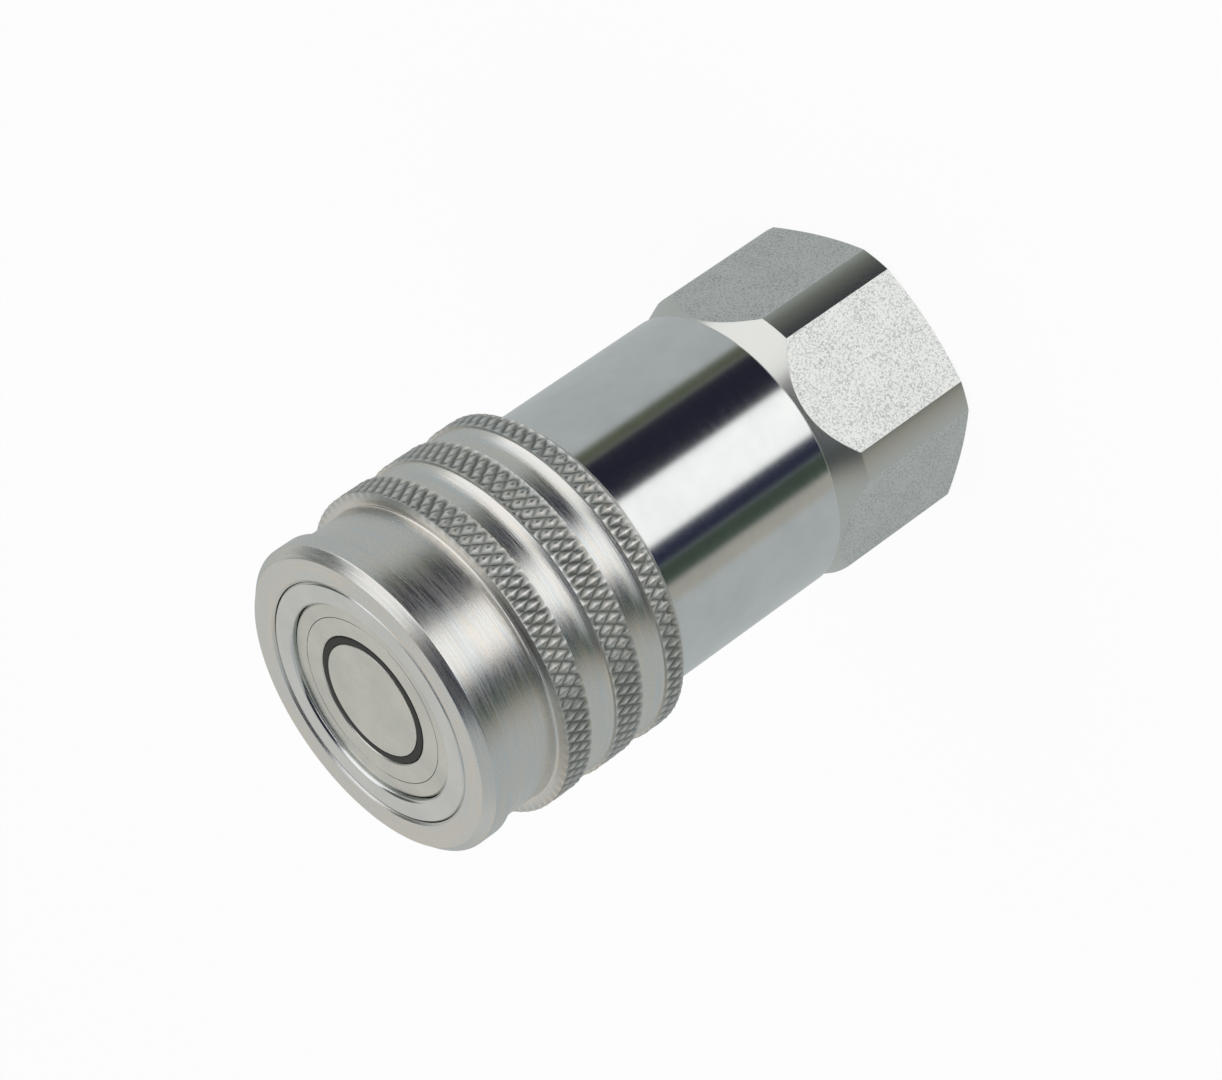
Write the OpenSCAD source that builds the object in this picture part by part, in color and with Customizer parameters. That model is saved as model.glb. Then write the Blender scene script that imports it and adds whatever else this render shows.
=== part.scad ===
// Flat-face quick coupling, female half, standing on the rear face of its hexagon.
// The axis is Z: z = 0 is the rear face with the port, and the mating face is at the top.
// Every place along the axis is measured down from the nose face or up from the rear face.

/* [Locking sleeve] */
// Diameter over the knurled bands
sleeve_d = 40; // [39.6:0.1:43]
// Diameter of the smooth neck in front of the bands
neck_d = 36.7; // [36.2:0.1:37.8]
// Diameter of the front lip
lip_d = 38.1; // [37.9:0.1:39.4]
// Length of the front lip with its chamfer
lip_len = 3.45; // [2.4:0.05:4.5]
// Chamfer at the front of the lip
lip_chamfer = 1.1; // [0.4:0.1:1.5]
// Distance from the front face to the first band
neck_end = 10.55; // [9:0.05:12]
// Width of the first band
band1_w = 3.55; // [2.5:0.05:5]
// Width of the first groove
groove1_w = 3.65; // [2.5:0.05:5]
// Width of the second band
band2_w = 3.95; // [2.5:0.05:5]
// Width of the second groove
groove2_w = 3.6; // [2.5:0.05:5]
// Width of the third band
band3_w = 2.5; // [2:0.05:5]
// Chamfer behind the third band
rear_chamfer = 0.75; // [0.3:0.05:1.2]
// Depth of the grooves between the bands
groove_depth = 0.9; // [0.4:0.05:0.95]
// Radius of the arc that leads from the floor of a groove up to the band behind it
groove_arc = 3.5; // [1.5:0.1:5]
// Height that this arc climbs before the wall of the band
groove_rise = 0.5; // [0.2:0.05:0.6]
// Fillet radius at the front corner of a groove
groove_fillet = 0.4; // [0.1:0.05:0.6]
// Fillet radius between the neck and the first band
neck_fillet = 0.9; // [0.3:0.05:1.4]
// How far the sleeve can be drawn back from rest
sleeve_travel = 2.5; // [1.5:0.1:2.9]
// How far the sleeve springs forward when a probe is locked
sleeve_snap = 2.6; // [2.3:0.1:3]

/* [Body] */
// Diameter of the smooth body
body_d = 34.74; // [34.6:0.02:35.2]
// Length of the body from its nose face to its rear face
body_len = 54.8; // [54:0.1:62]
// Diameter of the nose tube
nose_d = 29.86; // [29.6:0.02:30.2]
// Diameter of the mating probe, which is the bore of the nose
bore_d = 24.5; // [24.3:0.05:24.7]
// Distance from the nose face to the shoulder that carries the sleeve spring
shoulder_depth = 21.45; // [20.6:0.05:22]
// Distance from the nose face to the step that stops the ball-retaining ring
step_depth = 14.25; // [13.8:0.05:15.5]
// Length of the land that guides the valve sleeve
land_len = 8; // [7.8:0.1:9]
// How far the sleeve stands in front of the nose face
sleeve_lead = 0.16; // [0.05:0.01:0.5]

/* [Locking balls] */
// Ball diameter
ball_d = 3.97; // [3.6:0.01:4.1]
// Number of balls
ball_count = 12; // [6:1:14]
// Distance from the nose face to the ball centres
ball_depth = 7; // [6.6:0.05:7.4]

/* [Face rings and stem] */
// How far the face rings and the stem lie behind the nose face
face_recess = 0.6; // [0.2:0.05:1.2]
// Outside diameter of the valve sleeve
valve_d = 20.6; // [20.4:0.05:20.9]
// Bore of the valve sleeve
valve_bore_d = 14.8; // [13.6:0.1:15.2]
// Bore of the pocket in the valve sleeve that holds its spring
valve_pocket_d = 17.8; // [17.6:0.05:18.2]
// Diameter over the black stem seal
stem_seal_d = 15.8; // [15.4:0.05:16.2]
// Diameter of the stem disc
stem_disc_d = 13.9; // [13:0.05:14.4]
// Thickness of the stem head
stem_head_t = 2.9; // [2.4:0.05:3.6]
// Diameter of the stem rod
stem_rod_d = 7; // [6.6:0.1:8]
// How far a probe pushes the face rings in
probe_travel = 8.5; // [8:0.1:8.6]

/* [Hexagon adaptor] */
// Width across the flats
hex_af = 33.3; // [32:0.1:35]
// Diameter to which the corners are turned
hex_turned_d = 36.5; // [35.6:0.1:38]
// Length of the adaptor behind the body
hex_len = 20.8; // [20:0.1:26]
// Diameter of the cone where it meets the body
cone_d = 32.3; // [31.6:0.1:33]
// Angle of that cone from the axis
cone_angle = 28; // [20:1:45]
// Angle of the rear chamfer from the rear face
foot_angle = 20; // [12:1:35]
// Diameter of the flat rear face
foot_d = 32.6; // [31:0.1:33.2]
// Core diameter of the port thread
port_d = 18.63; // [18:0.01:19.2]
// Outer diameter of the port thread
port_thread_d = 20.955; // [20.8:0.005:21.4]
// Depth of the port thread
port_depth = 17; // [14:0.1:17.5]
// Bore between the port and the body
waist_d = 15; // [14.4:0.1:16]
// Diameter of the adaptor thread in the body
spigot_d = 30.9; // [30.7:0.05:31.3]

/* [Springs] */
// Wire of the sleeve spring
sleeve_wire = 1.5; // [1.3:0.05:1.55]
// Coils of the sleeve spring
sleeve_coils = 4; // [3:0.5:4]
// Wire of the ring spring
ring_wire = 1.1; // [0.9:0.05:1.15]
// Coils of the ring spring
ring_coils = 4.5; // [3:0.5:4.5]
// Wire of the valve spring
valve_wire = 1.2; // [1:0.05:1.2]
// Coils of the valve spring
valve_coils = 9; // [6:0.5:10]
// Wire of the sleeve stop ring
stop_wire = 1.1; // [0.9:0.05:1.15]

/* [Spider and nut] */
// Thickness of the flow spider
spider_t = 3; // [2.4:0.1:3.6]
// Diameter of the flow spider
spider_d = 27.2; // [26.8:0.1:27.4]
// Number of arms
spider_arms = 4; // [3:1:6]
// Width of an arm
arm_w = 2.8; // [2:0.1:3.6]
// Diameter of the stem thread
stem_thread_d = 6; // [5:0.1:6.4]
// Width of the stem nut across its flats
nut_af = 10; // [9:0.1:11]
// Height of the stem nut
nut_t = 4.8; // [4:0.1:5]

/* [Seals] */
// Section of the probe seal
probe_o_d = 1.64; // [1.5:0.02:1.7]
// Section of the valve seal
valve_o_d = 1.56; // [1.4:0.02:1.6]
// Section of the adaptor seal
adaptor_o_d = 1.44; // [1.3:0.02:1.5]
// Thickness of the backup rings
backup_t = 1.2; // [1:0.05:1.3]
// Width of the guide band
guide_w = 2.4; // [2:0.1:2.6]

/* [Clearances] */
// Radial clearance of a sliding metal fit
slide_clear = 0.06; // [0.03:0.01:0.09]
// Radial clearance between a seal and what slides past it
seal_clear = 0.05; // [0.02:0.01:0.08]
// Clearance round a still piece in its seat
seat_clear = 0.02; // [0.01:0.01:0.05]
// Axial gap where a moving piece rests on a stop
rest_gap = 0.05; // [0.02:0.01:0.1]
// Clearance between the balls and what they press on
ball_gap = 0.12; // [0.08:0.01:0.16]

/* [Hidden] */
$fn = 96;

// Places along the axis
nose_z = hex_len + body_len;
front_z = nose_z + sleeve_lead;
face_z = nose_z - face_recess;
ball_z = nose_z - ball_depth;
shoulder_z = nose_z - shoulder_depth;
step_z = nose_z - step_depth;

// Radii of the main fits
body_r = body_d / 2;
nose_r = nose_d / 2;
bore_r = bore_d / 2;
ring_r = bore_r - slide_clear;
valve_r = valve_d / 2;
ring_bore_r = valve_r + slide_clear;
lip_bore_r = nose_r + slide_clear;
chamber_r = body_r + slide_clear;
edge = 0.25;

// Balls, and the groove of the sleeve that they rest in
ball_r = ball_d / 2;
ball_pitch_r = ring_r + ball_gap + ball_r;
relief_r = ball_pitch_r + ball_r + ball_gap;
ramp_reach = sqrt(2) * (ball_r + ball_gap);
ramp_top_z = ball_z - (ramp_reach - (relief_r - ball_pitch_r));
ramp_end_z = ball_z - (ramp_reach - (lip_bore_r - ball_pitch_r));
relief_top_z = ball_z + ball_r + sleeve_travel + ball_gap;
lock_land = 2.15;
flange_z = ramp_end_z - lock_land;

// Stop ring between the body and the sleeve
stop_land = 1.1;
stop_groove_w = stop_wire + 2 * rest_gap;
stop_z = shoulder_z - stop_land - stop_groove_w / 2;
stop_pitch_r = body_r + 0.03;
stop_recess_r = stop_pitch_r + stop_wire / 2 + 0.15;
recess_top_z = stop_z + stop_wire / 2 + sleeve_travel + rest_gap;
recess_end_z = stop_z - stop_wire / 2 - sleeve_snap - rest_gap;

// Ring that holds the balls, and its spring
flange_over = 0.75;
ring_flange_r = bore_r + flange_over - slide_clear;
step_r = bore_r + flange_over;
flange_t = 1.4;
ring_rear_z = step_z - rest_gap - flange_t;

// Adaptor joint and the spider inside it
spider_seat = 4.96;
spider_z = hex_len + spider_seat;
joint_z = spider_z + spider_t;
spigot_r = spigot_d / 2;
socket_r = spigot_r + seat_clear;
spider_r = spider_d / 2;
chamber_bore_r = spider_r - 0.4;
throat_r = spider_r - 1.4;
joint_seal_z = hex_len + 0.2;
joint_seal_w = adaptor_o_d + backup_t + 0.16;
joint_root_r = socket_r - adaptor_o_d - seat_clear;

// Valve sleeve and the land that guides it
valve_end_gap = 0.8;
valve_rear_z = joint_z + probe_travel + valve_end_gap;
land_end_z = valve_rear_z - 0.5;
land_z = land_end_z + land_len;
land_r = valve_r + 0.15;
head_r = stem_seal_d / 2 - 0.1;
head_pocket_r = stem_seal_d / 2 + seal_clear;
head_step_z = face_z - stem_head_t - rest_gap;
pocket_depth = 19.2;
pocket_z = face_z - pocket_depth;
pocket_r = valve_pocket_d / 2;
seat_t = 0.6;
rod_r = stem_rod_d / 2;

// Seals in the nose and in the land
probe_groove_depth = 10.05;
probe_groove_z = nose_z - probe_groove_depth;
probe_root_r = bore_r + probe_o_d + seat_clear;
probe_groove_w = probe_o_d + backup_t + 0.16;
valve_groove_z = land_z - 1.4;
valve_root_r = valve_r + seal_clear + valve_o_d + seat_clear;
valve_groove_w = valve_o_d + backup_t + 0.16;
guide_z = valve_groove_z - valve_groove_w - 0.9;
guide_t = 1;
guide_r = valve_r + slide_clear;

// Stem nut
stem_screw_r = stem_thread_d / 2;
hub_r = stem_screw_r + 2.2;
washer_t = 0.8;
nut_z = spider_z - washer_t - nut_t;
screw_end_z = nut_z - 0.5;

// A ring of rectangular section between two radii and two heights
module tube(r_in, r_out, z_low, z_high) {
    rotate_extrude()
        translate([r_in, z_low])
            square([r_out - r_in, z_high - z_low]);
}

// A ring of round section
module torus(r_pitch, r_wire, z) {
    translate([0, 0, z])
        rotate_extrude()
            translate([r_pitch, 0])
                circle(r = r_wire);
}

// The corner left when a circle of radius f is taken out of a square
module spandrel(f) {
    difference() {
        square(f);
        translate([f, f])
            circle(r = f);
    }
}

// Height of the wire of a spring with closed ends, after a number of turns
function coil_z(turn, coils, wire, length) =
    let(closed = 1.08 * wire, open = (length - wire - 2 * closed) / (coils - 2))
    wire / 2 + (turn <= 1 ? turn * closed
        : turn >= coils - 1 ? length - wire - (coils - turn) * closed
        : closed + (turn - 1) * open);

// A compression spring standing on z_low
module spring(r_pitch, wire, coils, z_low, z_high) {
    steps = 20;
    sides = 6;
    rings = round(coils * steps);
    points = [for (i = [0:rings], j = [0:sides - 1])
        let(turn = i / steps, b = 360 * j / sides, r = r_pitch + wire / 2 * cos(b))
        [r * cos(360 * turn), r * sin(360 * turn),
            coil_z(turn, coils, wire, z_high - z_low) + wire / 2 * sin(b)]];
    walls = [for (i = [0:rings - 1], j = [0:sides - 1])
        let(k = (j + 1) % sides)
        [i * sides + j, i * sides + k, (i + 1) * sides + k, (i + 1) * sides + j]];
    first = [for (j = [sides - 1:-1:0]) j];
    last = [for (j = [0:sides - 1]) rings * sides + j];
    translate([0, 0, z_low])
        polyhedron(points, concat(walls, [first, last]));
}

// Section of a groove cut into the sleeve from outside, with its front edge at z
module groove_section(z, w) {
    root = sleeve_d / 2 - groove_depth;
    rise = min(groove_rise, groove_depth);
    run = sqrt(pow(groove_arc, 2) - pow(groove_arc - rise, 2));
    front = min(groove_fillet, groove_depth);
    difference() {
        translate([root, z - w])
            square([groove_depth + 1, w]);
        difference() {
            translate([root, z - w])
                square([rise, run]);
            translate([root + groove_arc, z - w + run])
                circle(r = groove_arc);
        }
        translate([root, z])
            mirror([0, 1])
                spandrel(front);
    }
}

// Outer form of the sleeve: lip, neck and three bands
module sleeve_outside() {
    band1_z = front_z - neck_end;
    groove1_z = band1_z - band1_w;
    groove2_z = groove1_z - groove1_w - band2_w;
    rear_z = groove2_z - groove2_w - band3_w - rear_chamfer;
    lip_r = lip_d / 2;
    neck_r = neck_d / 2;
    band_r = sleeve_d / 2;
    blend = min(neck_fillet, band_r - neck_r);
    difference() {
        polygon([[nose_r - 1, front_z], [lip_r - lip_chamfer, front_z], [lip_r, front_z - lip_chamfer],
            [lip_r, front_z - lip_len], [neck_r, front_z - lip_len], [neck_r, band1_z + blend],
            [neck_r + blend, band1_z + blend], [neck_r + blend, band1_z],
            [band_r, band1_z], [band_r, rear_z + rear_chamfer], [band_r - rear_chamfer, rear_z],
            [nose_r - 1, rear_z]]);
        translate([neck_r + blend, band1_z + blend])
            circle(r = blend);
        groove_section(groove1_z, groove1_w);
        groove_section(groove2_z, groove2_w);
    }
}

module locking_sleeve() {
    color([0.72, 0.73, 0.72])
        rotate_extrude()
            difference() {
                sleeve_outside();
                // running bore on the nose, with a lead at the front
                polygon([[0, 0], [0, front_z + 1], [lip_bore_r + edge, front_z + 1],
                    [lip_bore_r + edge, front_z], [lip_bore_r, front_z - edge], [lip_bore_r, 0]]);
                // room for the balls, with the ramp that drives them inward
                polygon([[nose_r - 1, relief_top_z], [relief_r, relief_top_z], [relief_r, ramp_top_z],
                    [lip_bore_r, ramp_end_z], [nose_r - 1, ramp_end_z]]);
                // spring chamber and rear running bore
                square([chamber_r, flange_z]);
                // recess for the stop ring
                translate([0, recess_end_z])
                    square([stop_recess_r, recess_top_z - recess_end_z]);
            }
}

module coupler_body() {
    foot_r = body_r - edge;
    color([0.78, 0.79, 0.78])
        difference() {
            rotate_extrude()
                difference() {
                    polygon([[0, hex_len], [foot_r, hex_len], [body_r, hex_len + edge],
                        [body_r, shoulder_z - edge], [body_r - edge, shoulder_z], [nose_r, shoulder_z],
                        [nose_r, nose_z - edge], [nose_r - edge, nose_z], [0, nose_z]]);
                    // bore for the probe, with a lead at the front
                    polygon([[0, step_z - 1], [bore_r, step_z - 1], [bore_r, nose_z - edge],
                        [bore_r + edge, nose_z], [bore_r + edge, nose_z + 1], [0, nose_z + 1]]);
                    translate([0, land_z])
                        square([step_r, step_z - land_z]);
                    square([land_r, nose_z]);
                    // flow chamber and socket for the adaptor
                    square([chamber_bore_r, land_end_z]);
                    square([socket_r, joint_z]);
                    // grooves for the probe seal, the valve seal and the guide band
                    translate([0, probe_groove_z - probe_groove_w])
                        square([probe_root_r, probe_groove_w]);
                    translate([0, valve_groove_z - valve_groove_w])
                        square([valve_root_r, valve_groove_w]);
                    translate([0, guide_z - guide_w - 2 * seat_clear])
                        square([guide_r + guide_t + seat_clear, guide_w + 2 * seat_clear]);
                    // groove for the stop ring
                    translate([stop_pitch_r - stop_wire / 2 - seat_clear, stop_z - stop_groove_w / 2])
                        square([stop_wire, stop_groove_w]);
                }
            for (i = [0:ball_count - 1])
                rotate([0, 90, (i + 0.5) * 360 / ball_count])
                    translate([-ball_z, 0, bore_r - 1])
                        cylinder(r = ball_r + seal_clear, h = nose_r - bore_r + 2);
        }
}

module hex_adaptor() {
    turned_r = hex_turned_d / 2;
    cone_r = cone_d / 2;
    foot_r = foot_d / 2;
    cone_z = hex_len - (turned_r - cone_r) / tan(cone_angle);
    foot_z = (turned_r - foot_r) * tan(foot_angle);
    port_r = port_d / 2;
    mouth_r = port_thread_d / 2 + 0.1;
    waist_r = waist_d / 2;
    spigot_z = joint_z - 0.1;
    waist_z = spider_z - (throat_r - waist_r);
    color([0.7, 0.71, 0.7])
        difference() {
            union() {
                intersection() {
                    cylinder(d = hex_af / cos(30), h = hex_len, $fn = 6);
                    rotate_extrude()
                        polygon([[0, 0], [foot_r, 0], [turned_r, foot_z], [turned_r, cone_z],
                            [cone_r, hex_len], [0, hex_len]]);
                }
                // threaded spigot with the seal groove at its root
                rotate_extrude()
                    polygon([[0, hex_len - 1], [joint_root_r, hex_len - 1],
                        [joint_root_r, joint_seal_z + joint_seal_w], [spigot_r, joint_seal_z + joint_seal_w],
                        [spigot_r, spigot_z - edge], [spigot_r - edge, spigot_z], [0, spigot_z]]);
            }
            // port from the rear, waist, throat and spider seat
            rotate_extrude()
                polygon([[0, -1], [mouth_r, -1], [mouth_r, 0], [port_r, mouth_r - port_r],
                    [port_r, port_depth], [waist_r, port_depth + (port_r - waist_r) / 2], [waist_r, waist_z],
                    [throat_r, spider_z], [spider_r + seat_clear, spider_z],
                    [spider_r + seat_clear, spigot_z + 1], [0, spigot_z + 1]]);
        }
}

module locking_balls() {
    color([0.85, 0.86, 0.87])
        for (i = [0:ball_count - 1])
            rotate([0, 0, (i + 0.5) * 360 / ball_count])
                translate([ball_pitch_r, 0, ball_z])
                    sphere(r = ball_r);
}

module sleeve_spring() {
    color([0.6, 0.6, 0.62])
        spring((nose_r + chamber_r) / 2, sleeve_wire, sleeve_coils, shoulder_z + seat_t + rest_gap,
            flange_z - rest_gap);
}

module sleeve_spring_washer() {
    color([0.75, 0.75, 0.75])
        tube(nose_r + slide_clear, body_r - edge, shoulder_z, shoulder_z + seat_t);
}

// Split wire ring, so it can be pressed into its groove while the sleeve is put on
module sleeve_stop_ring() {
    split = 14;
    color([0.55, 0.56, 0.58])
        translate([0, 0, stop_z])
            rotate([0, 0, split / 2])
                rotate_extrude(angle = 360 - split)
                    translate([stop_pitch_r, 0])
                        circle(d = stop_wire);
}

module ball_retaining_ring() {
    color([0.74, 0.75, 0.74])
        rotate_extrude()
            polygon([[ring_bore_r, ring_rear_z], [ring_flange_r, ring_rear_z],
                [ring_flange_r, step_z - rest_gap], [ring_r, step_z - rest_gap], [ring_r, face_z - edge],
                [ring_r - edge, face_z], [ring_bore_r, face_z]]);
}

module ring_spring() {
    color([0.6, 0.6, 0.62])
        spring((ring_bore_r + step_r) / 2, ring_wire, ring_coils, land_z + rest_gap, ring_rear_z - rest_gap);
}

module valve_sleeve() {
    lead = 0.15;
    bore = valve_bore_d / 2;
    color([0.72, 0.73, 0.72])
        rotate_extrude()
            polygon([[pocket_r, valve_rear_z], [valve_r - edge, valve_rear_z], [valve_r, valve_rear_z + edge],
                [valve_r, face_z], [head_pocket_r + lead, face_z], [head_pocket_r, face_z - lead],
                [head_pocket_r, head_step_z], [bore, head_step_z], [bore, pocket_z], [pocket_r, pocket_z]]);
}

module valve_spring() {
    color([0.6, 0.6, 0.62])
        spring(pocket_r - 0.2 - valve_wire / 2, valve_wire, valve_coils, joint_z + seat_t + rest_gap,
            pocket_z - rest_gap);
}

module valve_spring_seat() {
    color([0.75, 0.75, 0.75])
        tube(pocket_r - 0.2 - 2 * valve_wire, pocket_r - 0.15, joint_z, joint_z + seat_t);
}

module valve_guide_ring() {
    color([0.85, 0.83, 0.76])
        tube(guide_r, guide_r + guide_t, guide_z - guide_w - seat_clear, guide_z - seat_clear);
}

module valve_o_ring() {
    color([0.1, 0.1, 0.1])
        torus(valve_r + seal_clear + valve_o_d / 2, valve_o_d / 2,
            valve_groove_z - valve_groove_w + seal_clear + valve_o_d / 2);
}

module valve_backup_ring() {
    color([0.9, 0.9, 0.87])
        tube(valve_r + seal_clear, valve_root_r - seat_clear, valve_groove_z - seat_clear - backup_t,
            valve_groove_z - seat_clear);
}

module probe_o_ring() {
    color([0.1, 0.1, 0.1])
        torus(bore_r + probe_o_d / 2, probe_o_d / 2,
            probe_groove_z - probe_groove_w + seal_clear + probe_o_d / 2);
}

module probe_backup_ring() {
    color([0.9, 0.9, 0.87])
        tube(bore_r, probe_root_r - seat_clear, probe_groove_z - seat_clear - backup_t,
            probe_groove_z - seat_clear);
}

// Flat disc, seal seat, head, streamlined back, rod and screw in one turned piece
module stem() {
    disc_r = stem_disc_d / 2;
    lead = 0.15;
    rim_t = 0.9;
    rim_lead = 0.1;
    back_r = valve_bore_d / 2 - 0.3;
    back_z = face_z - stem_head_t;
    color([0.72, 0.73, 0.72])
        rotate_extrude()
            polygon([[0, screw_end_z], [stem_screw_r - edge, screw_end_z], [stem_screw_r, screw_end_z + edge],
                [stem_screw_r, joint_z], [rod_r, joint_z], [rod_r, back_z - (back_r - rod_r)],
                [back_r, back_z], [head_r - rim_lead, back_z], [head_r, back_z + rim_lead],
                [head_r, back_z + rim_t],
                [disc_r, back_z + rim_t], [disc_r, face_z - lead], [disc_r - lead, face_z], [0, face_z]]);
}

// Moulded ring round the disc, a touch below the face
module stem_seal() {
    rim_t = 0.9;
    sunk = 0.04;
    color([0.08, 0.08, 0.08])
        tube(stem_disc_d / 2 + seat_clear, stem_seal_d / 2, face_z - stem_head_t + rim_t + seat_clear,
            face_z - sunk);
}

module stem_spider() {
    rim_r = throat_r - seat_clear;
    color([0.7, 0.71, 0.7])
        translate([0, 0, spider_z])
            linear_extrude(spider_t)
                difference() {
                    union() {
                        difference() {
                            circle(r = spider_r);
                            circle(r = rim_r);
                        }
                        circle(r = hub_r);
                        for (i = [0:spider_arms - 1])
                            rotate(i * 360 / spider_arms)
                                translate([0, -arm_w / 2])
                                    square([rim_r + 0.5, arm_w]);
                    }
                    circle(r = stem_screw_r + seat_clear);
                }
}

module stem_washer() {
    color([0.75, 0.75, 0.75])
        tube(stem_screw_r + seat_clear, hub_r - 0.3, spider_z - washer_t, spider_z);
}

module stem_nut() {
    color([0.65, 0.66, 0.66])
        translate([0, 0, nut_z])
            difference() {
                cylinder(d = nut_af / cos(30), h = nut_t, $fn = 6);
                translate([0, 0, -1])
                    cylinder(r = stem_screw_r + seat_clear, h = nut_t + 2);
            }
}

module adaptor_o_ring() {
    color([0.1, 0.1, 0.1])
        torus(joint_root_r + adaptor_o_d / 2, adaptor_o_d / 2 - seat_clear / 2,
            joint_seal_z + joint_seal_w - seal_clear - adaptor_o_d / 2);
}

module adaptor_backup_ring() {
    color([0.9, 0.9, 0.87])
        tube(joint_root_r + seat_clear, socket_r - seat_clear, joint_seal_z, joint_seal_z + backup_t);
}

hex_adaptor();
coupler_body();
locking_sleeve();
locking_balls();
sleeve_spring();
sleeve_spring_washer();
sleeve_stop_ring();
ball_retaining_ring();
ring_spring();
valve_sleeve();
valve_spring();
valve_spring_seat();
valve_guide_ring();
valve_o_ring();
valve_backup_ring();
probe_o_ring();
probe_backup_ring();
stem();
stem_seal();
stem_spider();
stem_washer();
stem_nut();
adaptor_o_ring();
adaptor_backup_ring();
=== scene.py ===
# %% [markdown]
# # A flat-face quick coupling, female half
# The real object is a zinc plated steel coupling for coolant lines, about 76 mm long. A knurled sleeve slides
# over a smooth body, and a hexagonal adaptor with a pipe thread is screwed in behind. It stands here on the
# rear face of its hexagon, with its mating face up, and Z is its axis.
#
# The working model gives every piece its place. Round pieces that show are turned again here as fine
# surfaces, because a bright metal mirrors its surroundings and would show every facet of a coarse mesh.

# %% Load the working model
import bpy
import numpy as np
from mathutils import Matrix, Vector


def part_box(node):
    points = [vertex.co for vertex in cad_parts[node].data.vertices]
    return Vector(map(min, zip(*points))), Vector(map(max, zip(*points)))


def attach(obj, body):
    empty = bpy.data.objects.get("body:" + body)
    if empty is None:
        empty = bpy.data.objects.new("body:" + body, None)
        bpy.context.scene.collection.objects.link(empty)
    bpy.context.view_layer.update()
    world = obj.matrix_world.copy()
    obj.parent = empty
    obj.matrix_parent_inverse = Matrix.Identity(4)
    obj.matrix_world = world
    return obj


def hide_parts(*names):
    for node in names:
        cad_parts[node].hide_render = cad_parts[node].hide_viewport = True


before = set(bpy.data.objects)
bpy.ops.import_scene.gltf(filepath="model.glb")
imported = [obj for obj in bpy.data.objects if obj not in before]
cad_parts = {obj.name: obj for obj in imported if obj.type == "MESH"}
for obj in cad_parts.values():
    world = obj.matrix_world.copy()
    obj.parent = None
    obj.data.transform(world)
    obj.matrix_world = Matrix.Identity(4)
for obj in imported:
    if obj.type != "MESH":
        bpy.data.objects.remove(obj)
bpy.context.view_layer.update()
MM = 0.001

# %% [markdown]
# ## Measures of the pieces that show
# Heights come from the frame, so each piece meets its neighbours. The few sizes that a box can't give, such as
# the depth of a groove, are named here once, in millimetres, as in the working model.

# %% Measures
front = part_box("locking_sleeve")[1].z / MM
sleeve_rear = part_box("locking_sleeve")[0].z / MM
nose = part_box("coupler_body")[1].z / MM
body_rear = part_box("coupler_body")[0].z / MM
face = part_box("ball_retaining_ring")[1].z / MM
ring_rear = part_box("ball_retaining_ring")[0].z / MM
valve_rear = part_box("valve_sleeve")[0].z / MM
spigot_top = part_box("hex_adaptor")[1].z / MM
body_r = 17.37
nose_r = 14.93
bore_r = 12.25
band_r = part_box("locking_sleeve")[1].x / MM
neck_r, lip_r = 18.35, 19.05
neck_end, lip_len = 10.55, 3.45
bands = [(10.55, 14.10), (17.75, 21.70), (25.30, 27.80)]
floor_r = 19.1
print("front", front, "nose", nose, "face rings", face, "bands", bands)

# %% [markdown]
# ## Turning a profile
# A lathe carries one outline round the axis. Here the outline is a closed list of corners in radius and height,
# and each corner is eased by a short curve, as a real tool leaves it. A row just beside each curve keeps the
# smooth shading from spreading over the flat stretch next to it. The whole surface is one array of points: rows
# follow the outline and columns go round, so no loop over points is needed.

# %% Corners and rings
def soften(corners, ease, steps=4):
    """Each corner P becomes the curve P + a t (1-s)^2 + b t s^2, where a and b point to its neighbours.

    t is the ease of that corner, at most 0.3 of its shorter side, and s goes from 0 to 1.
    """
    points = np.asarray(corners, float)
    ease = np.broadcast_to(np.asarray(ease, float), (len(points),))
    to_last = np.roll(points, 1, 0) - points
    to_next = np.roll(points, -1, 0) - points
    len_last = np.linalg.norm(to_last, axis=1)
    len_next = np.linalg.norm(to_next, axis=1)
    t = np.minimum(ease, 0.3 * np.minimum(len_last, len_next))[:, None, None]
    a = (to_last / len_last[:, None])[:, None, :]
    b = (to_next / len_next[:, None])[:, None, :]
    s = np.linspace(0, 1, steps)[None, :, None]
    curve = points[:, None, :] + a * t * (1 - s) ** 2 + b * t * s ** 2
    before = points[:, None, :] + a * t * 1.5
    after = points[:, None, :] + b * t * 1.5
    return np.concatenate([before, curve, after], 1).reshape(-1, 2)


def shell(name, points, split=None):
    """A closed surface from points[row, column]: both directions wrap round, and faces are turned outwards.

    Every cell is cut into two triangles. split says, cell by cell, whether to cut it the other way.
    """
    rows, columns = points.shape[:2]
    i, j = np.meshgrid(np.arange(rows), np.arange(columns), indexing="ij")
    i2, j2 = (i + 1) % rows, (j + 1) % columns
    a, b, c, d = (p * columns + q for p, q in ((i, j), (i, j2), (i2, j2), (i2, j)))
    other = np.zeros((rows, columns), bool) if split is None else split
    first = np.where(other[..., None], np.stack([a, b, d], -1), np.stack([a, b, c], -1))
    second = np.where(other[..., None], np.stack([b, c, d], -1), np.stack([a, c, d], -1))
    triangles = np.concatenate([first, second], 2).reshape(-1, 3)
    flat = points.reshape(-1, 3)
    p, q, r = (flat[triangles[:, k]] for k in range(3))
    if np.einsum("ij,ij->i", p, np.cross(q, r)).sum() < 0:
        triangles = triangles[:, ::-1]
    mesh = bpy.data.meshes.new(name)
    mesh.from_pydata(flat * MM, [], triangles.tolist())
    mesh.update()
    return bpy.data.objects.new(name, mesh)


def finish_shading(piece, sharp=32):
    """Smooth shading with a crease wherever two faces meet at more than the given angle in degrees."""
    piece.data.shade_smooth()
    piece.data.set_sharp_from_angle(angle=np.radians(sharp))


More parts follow.
